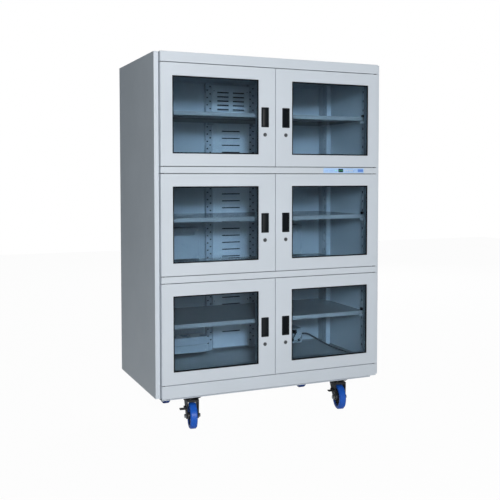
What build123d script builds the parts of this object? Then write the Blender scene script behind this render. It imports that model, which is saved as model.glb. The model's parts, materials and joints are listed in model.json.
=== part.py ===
"""Six-door desiccator cabinet on swivel casters, in millimetres.

The front faces -Y, up is +Z, and the origin lies on the ground below the
middle of the cabinet.  Distances named *_a are measured outwards from the
middle plane X = 0, so the left and right sides share them.
"""
from build123d import *

import os
from math import cos, radians, sin, tan

os.makedirs("parts", exist_ok=True)

# ---------------------------------------------------------------- overall
overall_w = 1210.0        # across the two side panels
overall_d = 672.0         # front of the pulls to the back of the cabinet
trim_proud = 1.2          # pulls and lock faces stand this far off the doors
ground_clear = 173.0      # ground to the underside of the cabinet

# ---------------------------------------------------------------- front layer
side_edge = 21.5          # front edge of each side panel, beside the doors
side_recess = 24.0        # that edge behind the door face
door_h = 476.0
door_t = 40.0
door_gap = 3.0            # between doors, rails and fascias
seal_gap = 3.0            # back of a door to the carcass
rail_h = 30.0
base_fascia_h = 61.0
top_fascia_h = 47.0
edge_r = 1.5              # folded edges of doors, rails and fascias

# ---------------------------------------------------------------- doors
handle_stile = 88.0       # window to the free edge of the door
hinge_stile = 56.5        # window to the hinged edge
window_border = 58.5      # window to the head and the foot
glass_lip = 6.0           # sheet in front of the glass
glass_t = 5.0
glass_fit = 0.5           # glass edge to the rebate
rebate = 10.0             # the rebate is this much wider than the window
bead_show = 2.0           # the bead shows this far inside the window
bead_inset = 3.0          # bead to the back of the door
hinge_inset = 10.0        # hinge axis to the hinged edge
hinge_depth = 12.0        # hinge axis behind the door face
pin_d = 8.0
pin_fit = 0.05
pin_reach = 12.0          # pin inside the door
bore_end = 1.5            # bore past the end of the pin

# ---------------------------------------------------------------- pulls, locks
pull_a = 55.9             # pull and lock from the middle plane
pull_w = 40.0
pull_h = 96.0
pull_corner_r = 3.0
cup_w = 34.0
cup_h = 90.0
cup_depth = 18.0
cup_wall = 2.0
lip_under = 4.0           # the finger hook reaches over the cup by this
lock_drop = 84.0          # lock below the middle of the door
lock_face_d = 17.0
lock_body_d = 14.0
lock_fit = 0.05
face_gap = 0.3            # between faces that turn past each other
key_w = 2.2
key_h = 8.0
key_depth = 3.0
cam_w = 16.0
cam_reach = 44.0
cam_t = 3.0
cam_gap = 1.0             # cam behind the front frame

# ---------------------------------------------------------------- carcass
skin_t = 1.2              # sheet of the hollow walls, roof, floor, back and units
wall_t = 35.0
wall_edge_r = 2.5
roof_t = 60.0
floor_t = 72.0
back_t = 50.0
back_border = 45.0        # plain border round the pressed field of the back
back_press = 4.0
back_corner_r = 20.0
frame_t = 12.0            # ladder frame behind the doors
post_w = 60.0
beam_h = 60.0
runner_w = 120.0          # channel under the floor that carries the casters
runner_h = 18.0
runner_flare = 16.0       # the channel is this much wider at the floor
runner_slope = 66.0       # degrees

# ---------------------------------------------------------------- shelves
shelf_front = 95.0        # shelf behind the door face
shelf_back_gap = 51.0     # shelf to the back wall
shelf_side_gap = 10.0     # shelf to the side wall
shelf_lip = 20.0
sheet_t = 2.0
rib_w = 60.0
rib_h = 12.0
rib_slope = 60.0          # degrees
rib_end = 20.0            # the rib stops this far inside the lips
mid_rise = 264.0          # middle shelf above the foot of its door
rail_rise = 52.0          # shelf at a rail above the head of the door

strip_t = 4.0             # front upright
strip_w = 32.0
strip_depth = 104.0       # front upright behind the door face
post_in = 26.0            # rear upright off the side wall
post_run = 50.0
post_back_gap = 93.0      # rear upright to the back wall
notch_gap = 4.0           # shelf to the rear upright
slot_pitch = 48.0
slot_w = 8.0
slot_h = 12.0
slot_sink = 3.0
clip_w = 22.0
clip_h = 12.0
clip_reach = 20.0

# ---------------------------------------------------------------- vent duct
duct_w = 220.0
duct_d = 32.0
duct_clear = 14.0         # duct above the floor and below the roof
duct_edge_r = 3.0
vent_w = 108.0
vent_h = 6.0
vent_pitch = 38.5
vent_top = 250.0          # first vent below the top of the duct
vent_foot = 60.0          # no vents this close to its foot
louvre_w = 68.0
louvre_slot = 8.0
louvre_lip = 5.0          # curled lip under each slot, and how far it stands out
louvre_lip_r = 6.0
louvre_pitch = 23.2
louvre_rows = 8
louvre_gap = 24.0         # between the two columns
louvre_top = 34.0
rack_w = 34.0             # slotted racks beside the duct
rack_gap = 1.0
rack_t = 26.0
rack_slot_w = 9.0
rack_slot_h = 7.0
rack_pitch = 40.0

# ---------------------------------------------------------------- fittings
unit_w = 200.0            # drying unit on the back wall
unit_h = 168.0
unit_d = 102.0
unit_edge_r = 5.0
unit_lift = 4.0           # upper units above the shelf
unit_a = 310.0            # middle of a unit from the middle plane
unit_slot_w = 140.0
unit_slot_h = 20.0
unit_slot_drop = 20.0
unit_slot_depth = 12.0
box_w = 244.0             # connection box at the foot of the back wall
box_h = 84.0
box_a = 288.0
groove_h = 4.0
gland_d = 18.0
gland_len = 12.0
lead_d = 10.0
lead_gap = 1.0            # lead above the floor
lead_lift = 1.0           # its last run above that
bend_share = 0.45         # of the shorter run beside each bend
block_w = 30.0            # terminal block at the front of the floor
block_run = 34.0
block_h = 24.0
block_corner_r = 3.0
block_depth = 128.0       # its back face behind the door face
block_wall_gap = 12.0

# ---------------------------------------------------------------- casters
caster_inset_x = 200.0    # swivel axis from the side of the cabinet
caster_inset_y = 102.0    # swivel axis from the front and the back
front_turn = -10.0        # the front casters stand slightly turned
plate_w = 76.0
plate_l = 100.0
plate_t = 5.0
plate_corner_r = 8.0
plate_bolt_x = 56.0
plate_bolt_y = 74.0
bolt_head_d = 15.0
bolt_head_h = 5.0
race_d = 62.0
race_h = 8.0
king_d = 12.0
king_head_d = 20.0
king_head_h = 3.0
crown_d = 74.0
crown_t = 10.0
wheel_d = 125.0
wheel_w = 34.0
tread_t = 16.0
tread_chamfer = 5.0
hub_d = 34.0
hub_w = 44.0
web_w = 12.0
trail = 38.0              # axle ahead of the swivel axis
axle_d = 12.0
axle_fit = 0.05
leg_gap = 2.0             # hub to leg
leg_t = 6.0
leg_ahead = 56.0          # legs and crown reach this far ahead of the swivel axis
leg_behind = 34.0
leg_foot_r = 15.0
nut_d = 19.0
nut_h = 8.0
pedal_pin_d = 8.0
pedal_cap_d = 12.0        # head of the pedal pin
pedal_cap_t = 2.0
pedal_t = 5.0
pedal_ahead = 8.0         # pedal pivot ahead of the swivel axis
pedal_z = 98.0
pedal_reach = 44.0        # pivot to the middle of the pedal's front end
pedal_h = 12.0
pad_w = 26.0              # ribbed pad under the foot
pad_l = 26.0
pad_corner_r = 2.0
pad_rib_r = 1.0

# ---------------------------------------------------------------- worked out
door_face = -overall_d / 2 + trim_proud
back_face = overall_d / 2
carcass_y = door_face + door_t + seal_gap
back_wall = back_face - back_t
half_w = overall_w / 2
chamber_a = half_w - wall_t
base_z = ground_clear
row_pitch = door_h + rail_h + 2 * door_gap
door_foot = [base_z + base_fascia_h + door_gap + i * row_pitch for i in range(3)]
rail_foot = [foot + door_h + door_gap for foot in door_foot]
top_z = rail_foot[2] + top_fascia_h
body_h = top_z - base_z
floor_z = base_z + floor_t
roof_z = top_z - roof_t
front_w = overall_w - 2 * (side_edge + door_gap)
door_w = (front_w - door_gap) / 2
window_w = door_w - handle_stile - hinge_stile
window_h = door_h - 2 * window_border
door_a = (door_w + door_gap) / 2
window_a = door_gap / 2 + handle_stile + window_w / 2
hinge_a = front_w / 2 - hinge_inset
hinge_y = door_face + hinge_depth
cam_y = carcass_y + frame_t + cam_gap
shelf_tops = [door_foot[0] + mid_rise, door_foot[0] + door_h + rail_rise,
              door_foot[1] + mid_rise, door_foot[1] + door_h + rail_rise,
              door_foot[2] + mid_rise]
duct_y = back_wall - duct_d
duct_foot = floor_z + duct_clear
duct_h = roof_z - floor_z - 2 * duct_clear
sides = {"left": -1, "right": 1}
rows = {"lower": 0, "middle": 1, "upper": 2}


def upright(y):
    """Drawing plane at depth y: local x is X, local y is Z, outwards is -Y."""
    return Plane.XZ.offset(-y)


def save(part, name):
    part.label = name
    export_step(part, f"parts/{name}.step")


# ================================================================ carcass
for side, sx in sides.items():
    with BuildPart() as side_panel:
        edge_y = door_face + side_recess
        with BuildSketch(Plane.XY.offset(base_z)) as section:
            with Locations((sx * (half_w - wall_t / 2), (carcass_y + back_face) / 2)):
                Rectangle(wall_t, back_face - carcass_y)
            with Locations((sx * (half_w - side_edge / 2), (edge_y + back_face) / 2)):
                Rectangle(side_edge, back_face - edge_y)
        extrude(amount=body_h)
        outer = side_panel.faces().sort_by(Axis.X)[0 if sx < 0 else -1]
        fillet(outer.edges().filter_by(Axis.Z), wall_edge_r)
        with BuildSketch(Plane.XY.offset(base_z + skin_t)):
            offset(section.sketch_local, amount=-skin_t, kind=Kind.INTERSECTION)
        extrude(amount=body_h - 2 * skin_t, mode=Mode.SUBTRACT)
    save(side_panel.part, f"side_panel_{side}")

with BuildPart() as roof_panel:
    with BuildSketch(Plane.XY.offset(roof_z)):
        with Locations((0, (carcass_y + back_wall) / 2)):
            Rectangle(2 * chamber_a, back_wall - carcass_y)
    extrude(amount=roof_t)
    with BuildSketch(Plane.XY.offset(roof_z + skin_t)):
        with Locations((0, (carcass_y + back_wall) / 2)):
            Rectangle(2 * (chamber_a - skin_t), back_wall - carcass_y - 2 * skin_t)
    extrude(amount=roof_t - 2 * skin_t, mode=Mode.SUBTRACT)
save(roof_panel.part, "roof_panel")

caster_x = half_w - caster_inset_x
caster_y = overall_d / 2 - caster_inset_y
block_a = chamber_a - block_wall_gap - block_w / 2
block_back = door_face + block_depth

with BuildPart() as floor_pan:
    with BuildSketch(Plane.XY.offset(base_z)):
        with Locations((0, (carcass_y + back_wall) / 2)):
            Rectangle(2 * chamber_a, back_wall - carcass_y)
    extrude(amount=floor_t)
    with BuildSketch(Plane.XY.offset(base_z + skin_t)):
        with Locations((0, (carcass_y + back_wall) / 2)):
            Rectangle(2 * (chamber_a - skin_t), back_wall - carcass_y - 2 * skin_t)
    extrude(amount=floor_t - 2 * skin_t, mode=Mode.SUBTRACT)
    # Hat channels under the floor, where the caster plates are bolted.
    for y_mid in (-caster_y, caster_y):
        with BuildSketch(Plane.YZ.offset(-chamber_a)):
            with Locations((y_mid, base_z)):
                Trapezoid(runner_w + runner_flare, runner_h, runner_slope, rotation=180,
                          align=(Align.CENTER, Align.MIN))
                Trapezoid(runner_w + runner_flare - 4 * sheet_t, runner_h - sheet_t, runner_slope,
                          rotation=180, align=(Align.CENTER, Align.MIN), mode=Mode.SUBTRACT)
        extrude(amount=2 * chamber_a)
    # Terminal block where the lead ends.
    with BuildSketch(Plane.XY.offset(floor_z)):
        with Locations((block_a, block_back - block_run / 2)):
            RectangleRounded(block_w, block_run, block_corner_r)
    extrude(amount=block_h)
save(floor_pan.part, "floor_pan")

with BuildPart() as back_panel:
    with BuildSketch(upright(back_face)):
        with Locations((0, base_z + body_h / 2)):
            Rectangle(2 * chamber_a, body_h)
    extrude(amount=back_t)
    with BuildSketch(upright(back_face)):
        with Locations((0, base_z + body_h / 2)):
            RectangleRounded(2 * (chamber_a - back_border), body_h - 2 * back_border,
                             back_corner_r)
    extrude(amount=back_press, mode=Mode.SUBTRACT)
    with BuildSketch(upright(back_wall + skin_t)):
        with Locations((0, base_z + body_h / 2)):
            Rectangle(2 * (chamber_a - skin_t), body_h - 2 * skin_t)
    extrude(amount=-(back_t - back_press - 2 * skin_t), mode=Mode.SUBTRACT)
save(back_panel.part, "back_panel")

with BuildPart() as front_frame:
    with BuildSketch(upright(carcass_y)):
        with Locations((0, (floor_z + roof_z) / 2)):
            Rectangle(post_w, roof_z - floor_z)
        with Locations([(0, foot + rail_h / 2) for foot in rail_foot[:2]]):
            Rectangle(2 * chamber_a, beam_h)
    extrude(amount=-frame_t)
save(front_frame.part, "front_frame")


# ================================================================ rails
def front_bar(name, foot, height, pins_down, pins_up):
    """A folded bar across the front, with the hinge pins that it carries."""
    with BuildPart() as bar:
        with BuildSketch(upright(door_face)):
            with Locations((0, foot + height / 2)):
                Rectangle(front_w, height)
        extrude(amount=-(carcass_y - door_face))
        fillet(bar.faces().sort_by(Axis.Y)[0].outer_wire().edges(), edge_r)
        pin_len = door_gap + pin_reach
        for wanted, z_root, way in ((pins_down, foot, -1), (pins_up, foot + height, 1)):
            if wanted:
                with BuildSketch(Plane.XY.offset(z_root)):
                    with Locations((-hinge_a, hinge_y), (hinge_a, hinge_y)):
                        Circle(pin_d / 2)
                extrude(amount=way * pin_len)
    save(bar.part, name)


front_bar("base_fascia", base_z, base_fascia_h, False, True)
front_bar("middle_rail", rail_foot[0], rail_h, True, True)
front_bar("control_rail", rail_foot[1], rail_h, True, True)
front_bar("top_fascia", rail_foot[2], top_fascia_h, True, False)


# ================================================================ doors
def door_panel(sx, foot, middle):
    """Steel door frame: rebated window, pull and lock cut-outs, hinge bores."""
    with BuildPart() as panel:
        with BuildSketch(upright(door_face)):
            with Locations((sx * door_a, middle)):
                Rectangle(door_w, door_h)
            with Locations((sx * window_a, middle)):
                Rectangle(window_w, window_h, mode=Mode.SUBTRACT)
            with Locations((sx * pull_a, middle)):
                Rectangle(cup_w, cup_h, mode=Mode.SUBTRACT)
            with Locations((sx * pull_a, middle - lock_drop)):
                Circle(lock_body_d / 2 + lock_fit, mode=Mode.SUBTRACT)
        extrude(amount=-door_t)
        fillet(panel.faces().sort_by(Axis.Y)[0].outer_wire().edges(), edge_r)
        with BuildSketch(upright(door_face + glass_lip)):
            with Locations((sx * window_a, middle)):
                Rectangle(window_w + 2 * rebate, window_h + 2 * rebate)
        extrude(amount=-(door_t - glass_lip), mode=Mode.SUBTRACT)
        for z_end, way in ((foot, 1), (foot + door_h, -1)):
            with BuildSketch(Plane.XY.offset(z_end)):
                with Locations((sx * hinge_a, hinge_y)):
                    Circle(pin_d / 2 + pin_fit)
            extrude(amount=way * (pin_reach + bore_end), mode=Mode.SUBTRACT)
    return panel.part


def door_glass(sx, middle):
    with BuildPart() as glass:
        with BuildSketch(upright(door_face + glass_lip)):
            with Locations((sx * window_a, middle)):
                Rectangle(window_w + 2 * (rebate - glass_fit),
                          window_h + 2 * (rebate - glass_fit))
        extrude(amount=-glass_t)
    return glass.part


def door_bead(sx, middle):
    """Deep black frame that holds the glass from inside the door."""
    with BuildPart() as bead:
        with BuildSketch(upright(door_face + glass_lip + glass_t)):
            with Locations((sx * window_a, middle)):
                Rectangle(window_w + 2 * rebate, window_h + 2 * rebate)
                Rectangle(window_w - 2 * bead_show, window_h - 2 * bead_show,
                          mode=Mode.SUBTRACT)
        extrude(amount=-(door_t - glass_lip - glass_t - bead_inset))
    return bead.part


def door_pull(sx, middle):
    """Flush pull: a cup with a curved floor and a finger hook by the window."""
    rim = door_face - trim_proud
    with BuildPart() as pull:
        with BuildSketch(upright(door_face)):
            with Locations((sx * pull_a, middle)):
                RectangleRounded(pull_w, pull_h, pull_corner_r)
        extrude(amount=trim_proud)
        with BuildSketch(upright(door_face)):
            with Locations((sx * pull_a, middle)):
                Rectangle(cup_w, cup_h)
        extrude(amount=-cup_depth)
        pocket_h = cup_h - 2 * cup_wall
        near = sx * (pull_a - cup_w / 2 + cup_wall)
        far = sx * (pull_a + cup_w / 2 - cup_wall)
        hook = far - sx * lip_under
        deep = door_face + cup_depth - cup_wall
        with BuildSketch(Plane.XY.offset(middle - pocket_h / 2)):
            with BuildLine():
                Polyline((near, rim), (hook, rim), (hook, rim + 2 * cup_wall),
                         (far, rim + 3 * cup_wall), (far, deep))
                TangentArc((far, deep), (near, rim), tangent=(-sx, 0))
            make_face()
        extrude(amount=pocket_h, mode=Mode.SUBTRACT)
    return pull.part


def door_lock(sx, middle):
    """Round key lock that turns in the door, with its cam behind the frame."""
    z_lock = middle - lock_drop
    with BuildPart() as lock:
        with BuildSketch(upright(door_face - face_gap)):
            with Locations((sx * pull_a, z_lock)):
                Circle(lock_face_d / 2)
        extrude(amount=trim_proud - face_gap)
        with BuildSketch(upright(door_face - face_gap)):
            with Locations((sx * pull_a, z_lock)):
                Circle(lock_body_d / 2)
        extrude(amount=-(cam_y + cam_t - door_face + face_gap))
        with BuildSketch(upright(cam_y)):
            with Locations((sx * pull_a, z_lock - cam_reach / 2 + cam_w / 2)):
                SlotOverall(cam_reach, cam_w, rotation=90)
        extrude(amount=-cam_t)
        with BuildSketch(upright(door_face - trim_proud)):
            with Locations((sx * pull_a, z_lock)):
                Rectangle(key_w, key_h)
        extrude(amount=-key_depth, mode=Mode.SUBTRACT)
    return lock.part


for row, index in rows.items():
    for side, sx in sides.items():
        foot = door_foot[index]
        middle = foot + door_h / 2
        save(door_panel(sx, foot, middle), f"{row}_{side}_door")
        save(door_glass(sx, middle), f"{row}_{side}_glass")
        save(door_bead(sx, middle), f"{row}_{side}_bead")
        save(door_pull(sx, middle), f"{row}_{side}_pull")
        save(door_lock(sx, middle), f"{row}_{side}_lock")

# ================================================================ shelves
shelf_a = chamber_a - shelf_side_gap
shelf_y0 = door_face + shelf_front
shelf_y1 = back_wall - shelf_back_gap
post_y0 = back_wall - post_back_gap - post_run
notch_a = chamber_a - post_in - notch_gap


def shelf(top):
    """Sheet tray with folded lips, notched for the rear uprights, with a rib."""
    with BuildPart() as tray:
        with BuildSketch(Plane.XY.offset(top - shelf_lip)) as outline:
            with Locations((0, (shelf_y0 + shelf_y1) / 2)):
                Rectangle(2 * shelf_a, shelf_y1 - shelf_y0)
            notch_y = post_y0 - notch_gap
            for sx in sides.values():
                with Locations((sx * (notch_a + shelf_a) / 2, (notch_y + shelf_y1) / 2)):
                    Rectangle(shelf_a - notch_a, shelf_y1 - notch_y, mode=Mode.SUBTRACT)
        extrude(amount=shelf_lip)
        with BuildSketch(Plane.XY.offset(top - shelf_lip)):
            offset(outline.sketch_local, amount=-sheet_t)
        extrude(amount=shelf_lip - sheet_t, mode=Mode.SUBTRACT)
        rib_a = shelf_a - sheet_t - rib_end
        with BuildSketch(Plane.YZ.offset(-rib_a)):
            with Locations(((shelf_y0 + post_y0) / 2, top - sheet_t)):
                Trapezoid(rib_w, rib_h, rib_slope, rotation=180, align=(Align.CENTER, Align.MIN))
                Trapezoid(rib_w - 4 * sheet_t, rib_h - sheet_t, rib_slope, rotation=180,
                          align=(Align.CENTER, Align.MIN), mode=Mode.SUBTRACT)
        extrude(amount=2 * rib_a)
    return tray.part


for number, top in enumerate(shelf_tops, start=1):
    save(shelf(top), f"shelf_{number}")

rack_a = duct_w / 2 + rack_gap + rack_w / 2
rack_y = back_wall - rack_t
upright_h = roof_z - floor_z
slot_rows = int(upright_h / slot_pitch) - 1
slot_first = floor_z + (upright_h - (slot_rows - 1) * slot_pitch) / 2
rack_rows = int(upright_h / rack_pitch) - 1
rack_first = floor_z + (upright_h - (rack_rows - 1) * rack_pitch) / 2
strip_y = door_face + strip_depth
post_mid = post_y0 + post_run / 2

with BuildPart() as shelf_uprights:
    with BuildSketch(Plane.XY.offset(floor_z)):
        for sx in sides.values():
            with Locations((sx * (chamber_a - strip_t / 2), strip_y + strip_w / 2)):
                Rectangle(strip_t, strip_w)
            with Locations((sx * (chamber_a - post_in / 2), post_mid)):
                Rectangle(post_in, post_run)
            with Locations((sx * rack_a, back_wall - rack_t / 2)):
                Rectangle(rack_w, rack_t)
    extrude(amount=upright_h)
    # Hook slots in the side uprights.
    for sx in sides.values():
        for inner_a, y_mid in ((chamber_a - strip_t, strip_y + strip_w / 2),
                               (chamber_a - post_in, post_mid)):
            with BuildSketch(Plane.YZ.offset(sx * inner_a)):
                with Locations([(y_mid, slot_first + i * slot_pitch) for i in range(slot_rows)]):
                    Rectangle(slot_w, slot_h)
            extrude(amount=sx * slot_sink, mode=Mode.SUBTRACT)
    # Two staggered columns of slots in the racks beside the duct.
    for sx in sides.values():
        for shift, lift in ((-rack_w / 4, 0), (rack_w / 4, rack_pitch / 2)):
            with BuildSketch(upright(rack_y)):
                with Locations([(sx * rack_a + shift, rack_first + lift + i * rack_pitch)
                                for i in range(rack_rows)]):
                    Rectangle(rack_slot_w, rack_slot_h)
            extrude(amount=-slot_sink, mode=Mode.SUBTRACT)
    # Hooks under the lips of every shelf.
    for top in shelf_tops:
        with BuildSketch(Plane.XY.offset(top - shelf_lip)):
            for sx in sides.values():
                strip_in = chamber_a - strip_t
                with Locations((sx * (strip_in - clip_reach / 2), strip_y + strip_w / 2)):
                    Rectangle(clip_reach, clip_w)
                with Locations((sx * (chamber_a - post_in - clip_reach / 2), post_mid)):
                    Rectangle(clip_reach, clip_w)
                with Locations((sx * rack_a, (rack_y + shelf_y1 - clip_reach) / 2)):
                    Rectangle(clip_w, rack_y - shelf_y1 + clip_reach)
        extrude(amount=-clip_h)
save(shelf_uprights.part, "shelf_uprights")

# ================================================================ vent duct
louvre_x = (louvre_w + louvre_gap) / 2
duct_top = duct_foot + duct_h
vent_count = int((duct_h - vent_top - vent_foot) / vent_pitch) + 1

with BuildPart() as vent_duct:
    with BuildSketch(Plane.XY.offset(duct_foot)):
        with Locations((0, back_wall - duct_d / 2)):
            Rectangle(duct_w, duct_d)
    extrude(amount=duct_h)
    fillet(vent_duct.faces().sort_by(Axis.Y)[0].edges().filter_by(Axis.Z), duct_edge_r)
    with BuildSketch(Plane.XY.offset(duct_foot + sheet_t)):
        with Locations((0, back_wall - duct_d / 2 + sheet_t / 2)):
            Rectangle(duct_w - 2 * sheet_t, duct_d - sheet_t)
    extrude(amount=duct_h - 2 * sheet_t, mode=Mode.SUBTRACT)
    # Horizontal vents all the way down.
    with BuildSketch(upright(duct_y)):
        with Locations([(0, duct_top - vent_top - i * vent_pitch) for i in range(vent_count)]):
            SlotOverall(vent_w, vent_h)
    extrude(amount=-sheet_t, mode=Mode.SUBTRACT)
    # Louvres at the top: a slot with a curled lip under it.
    for row_index in range(louvre_rows):
        sill = duct_top - louvre_top - row_index * louvre_pitch - louvre_slot
        with BuildSketch(upright(duct_y)):
            with Locations((-louvre_x, sill + louvre_slot / 2), (louvre_x, sill + louvre_slot / 2)):
                Rectangle(louvre_w, louvre_slot)
        extrude(amount=-sheet_t, mode=Mode.SUBTRACT)
        for x_mid in (-louvre_x, louvre_x):
            with BuildSketch(Plane.YZ.offset(x_mid - louvre_w / 2)):
                with BuildLine():
                    RadiusArc((duct_y, sill - louvre_lip), (duct_y - louvre_lip, sill), louvre_lip_r)
                    Polyline((duct_y - louvre_lip, sill), (duct_y, sill), (duct_y, sill - louvre_lip))
                make_face()
            extrude(amount=louvre_w)
save(vent_duct.part, "vent_duct")

# ================================================================ drying units
unit_foot = shelf_tops[1] + unit_lift
box_foot = duct_foot
lead_z = floor_z + lead_d / 2 + lead_gap
gland_x = box_a + box_w / 2
gland_y = back_wall - unit_d / 2
gland_z = box_foot + box_h / 2

with BuildPart() as drying_units:
    for width, height, foot, mid_a in ((unit_w, unit_h, unit_foot, unit_a),
                                       (box_w, box_h, box_foot, box_a)):
        with BuildSketch(upright(back_wall)):
            with Locations((-mid_a, foot + height / 2), (mid_a, foot + height / 2)):
                Rectangle(width, height)
        extrude(amount=unit_d)
        with BuildSketch(upright(back_wall - skin_t)):
            with Locations((-mid_a, foot + height / 2), (mid_a, foot + height / 2)):
                Rectangle(width - 2 * skin_t, height - 2 * skin_t)
        extrude(amount=unit_d - unit_slot_depth - 2 * skin_t, mode=Mode.SUBTRACT)
    fillet(drying_units.faces().filter_by(Axis.Y).group_by(Axis.Y)[0].edges(), unit_edge_r)
    # Air outlet near the top of each unit, and the lid joint of each box.
    unit_front = back_wall - unit_d
    slot_z = unit_foot + unit_h - unit_slot_drop - unit_slot_h / 2
    with BuildSketch(upright(unit_front)):
        with Locations((-unit_a, slot_z), (unit_a, slot_z)):
            Rectangle(unit_slot_w, unit_slot_h)
        with Locations((-box_a, box_foot + box_h / 2), (box_a, box_foot + box_h / 2)):
            Rectangle(box_w, groove_h)
    extrude(amount=-unit_slot_depth, mode=Mode.SUBTRACT)
    with BuildSketch(Plane.YZ.offset(gland_x)):
        with Locations((gland_y, gland_z)):
            Circle(gland_d / 2)
    extrude(amount=gland_len)
save(drying_units.part, "drying_units")

# ================================================================ lead
# It leaves the connection box, turns the corner and runs along the foot of the
# side wall to the terminal block.
lead_run = block_back - gland_y
block_mid_z = lead_z + lead_lift
lead_points = [
    Vector(gland_x + gland_len, gland_y, gland_z),
    Vector(gland_x + gland_len + 48, gland_y, gland_z),
    Vector(block_a - 27, gland_y + 0.06 * lead_run, floor_z + 25),
    Vector(block_a - 14, gland_y + 0.25 * lead_run, floor_z + 10),
    Vector(block_a - 8, gland_y + 0.49 * lead_run, lead_z),
    Vector(block_a, gland_y + 0.76 * lead_run, block_mid_z),
    Vector(block_a, block_back, block_mid_z),
]
runs = [b - a for a, b in zip(lead_points, lead_points[1:])]
bend_radii = [bend_share * min(a.length, b.length) / tan(radians(a.get_angle(b) / 2))
              for a, b in zip(runs, runs[1:])]
print("lead bend radii", [round(r) for r in bend_radii])

with BuildPart() as lead:
    with BuildLine() as lead_path:
        FilletPolyline(*lead_points, radius=bend_radii)
    with BuildSketch(Plane(origin=lead_points[0], z_dir=runs[0])):
        Circle(lead_d / 2)
    sweep(path=lead_path.line)
save(lead.part, "lead")

# ================================================================ casters
plate_top = base_z - runner_h
race_top = plate_top - plate_t
crown_top = race_top - race_h - face_gap
crown_foot = crown_top - crown_t
axle_z = wheel_d / 2
leg_in = hub_w / 2 + leg_gap
leg_out = leg_in + leg_t
casters = {"front_left": (-caster_x, -caster_y, front_turn),
           "front_right": (caster_x, -caster_y, front_turn),
           "rear_left": (-caster_x, caster_y, 0),
           "rear_right": (caster_x, caster_y, 0)}


def swivel_frame(x, y, turn):
    """Ground frame of a caster: local x along the axle, the wheel on local -y."""
    return Plane(origin=(x, y, 0), x_dir=(cos(radians(turn)), sin(radians(turn)), 0),
                 z_dir=(0, 0, 1))


def side_on(ground, x):
    """Plane across the axle at local x: drawn in local y and z."""
    return Plane(origin=ground.from_local_coords((x, 0, 0)), x_dir=ground.y_dir,
                 z_dir=ground.x_dir)


def caster_wheel(ground):
    """Hub, thin web and bevelled tread, turned in one piece about the axle."""
    axle = ground.from_local_coords((0, -trail, axle_z))
    bore_r = axle_d / 2 + axle_fit
    rim_r = wheel_d / 2 - tread_t
    with BuildPart() as wheel:
        with BuildSketch(Plane(origin=axle, x_dir=ground.x_dir, z_dir=ground.y_dir)):
            with Locations((0, (bore_r + hub_d / 2) / 2)):
                Rectangle(hub_w, hub_d / 2 - bore_r)
            with Locations((0, (hub_d / 2 + rim_r) / 2)):
                Rectangle(web_w, rim_r - hub_d / 2)
            with Locations((0, rim_r + tread_t / 2)):
                tread = Rectangle(wheel_w, tread_t)
            chamfer(tread.vertices().group_by(Axis.Y)[-1], tread_chamfer)
        revolve(axis=Axis(axle, ground.x_dir))
    return wheel.part


def caster_fork(ground, braked):
    """Crown, two tapering legs, the axle with its nuts and the pedal pin."""
    with BuildPart() as fork:
        with BuildSketch(ground.offset(crown_foot)):
            Circle(crown_d / 2)
            with Locations((0, (leg_behind - leg_ahead) / 2)):
                Rectangle(2 * leg_out, leg_ahead + leg_behind)
            Circle(king_d / 2 + axle_fit, mode=Mode.SUBTRACT)
        extrude(amount=crown_t)
        for x0 in (-leg_out, leg_in):
            with BuildSketch(side_on(ground, x0)):
                with Locations((-trail, axle_z)):
                    Circle(leg_foot_r)
                with Locations(((leg_behind - leg_ahead) / 2, crown_foot + crown_t / 2)):
                    Rectangle(leg_ahead + leg_behind, crown_t)
                make_hull()
            extrude(amount=leg_t)
        with BuildSketch(side_on(ground, -leg_out - nut_h)):
            with Locations((-trail, axle_z)):
                Circle(axle_d / 2)
        extrude(amount=2 * (leg_out + nut_h))
        for x0 in (-leg_out - nut_h, leg_out):
            with BuildSketch(side_on(ground, x0)):
                with Locations((-trail, axle_z)):
                    RegularPolygon(nut_d / 2, 6)
            extrude(amount=nut_h)
        if braked:
            pin_end = leg_out + pedal_t + 2 * face_gap
            with BuildSketch(side_on(ground, -pin_end)):
                with Locations((-pedal_ahead, pedal_z)):
                    Circle(pedal_pin_d / 2)
            extrude(amount=pin_end - leg_out)
            with BuildSketch(side_on(ground, -pin_end)):
                with Locations((-pedal_ahead, pedal_z)):
                    Circle(pedal_cap_d / 2)
            extrude(amount=-pedal_cap_t)
    return fork.part


def brake_pedal(ground):
    """Side lever with a ribbed pad that is pressed down by the foot."""
    outer = leg_out + face_gap + pedal_t
    with BuildPart() as pedal:
        with BuildSketch(side_on(ground, -outer)):
            with Locations((-pedal_ahead - pedal_reach / 2, pedal_z)):
                SlotOverall(pedal_reach + pedal_h, pedal_h)
            with Locations((-pedal_ahead, pedal_z)):
                Circle(pedal_pin_d / 2 + axle_fit, mode=Mode.SUBTRACT)
        extrude(amount=pedal_t)
        with BuildSketch(side_on(ground, -outer)):
            with Locations((pad_l / 2 - pedal_ahead - pedal_reach, pedal_z)):
                RectangleRounded(pad_l, pedal_t, pad_corner_r)
                with GridLocations(pad_l / 4, 0, 3, 1):
                    with Locations((0, pedal_t / 2)):
                        Circle(pad_rib_r)
        extrude(amount=-pad_w)
    return pedal.part


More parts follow.
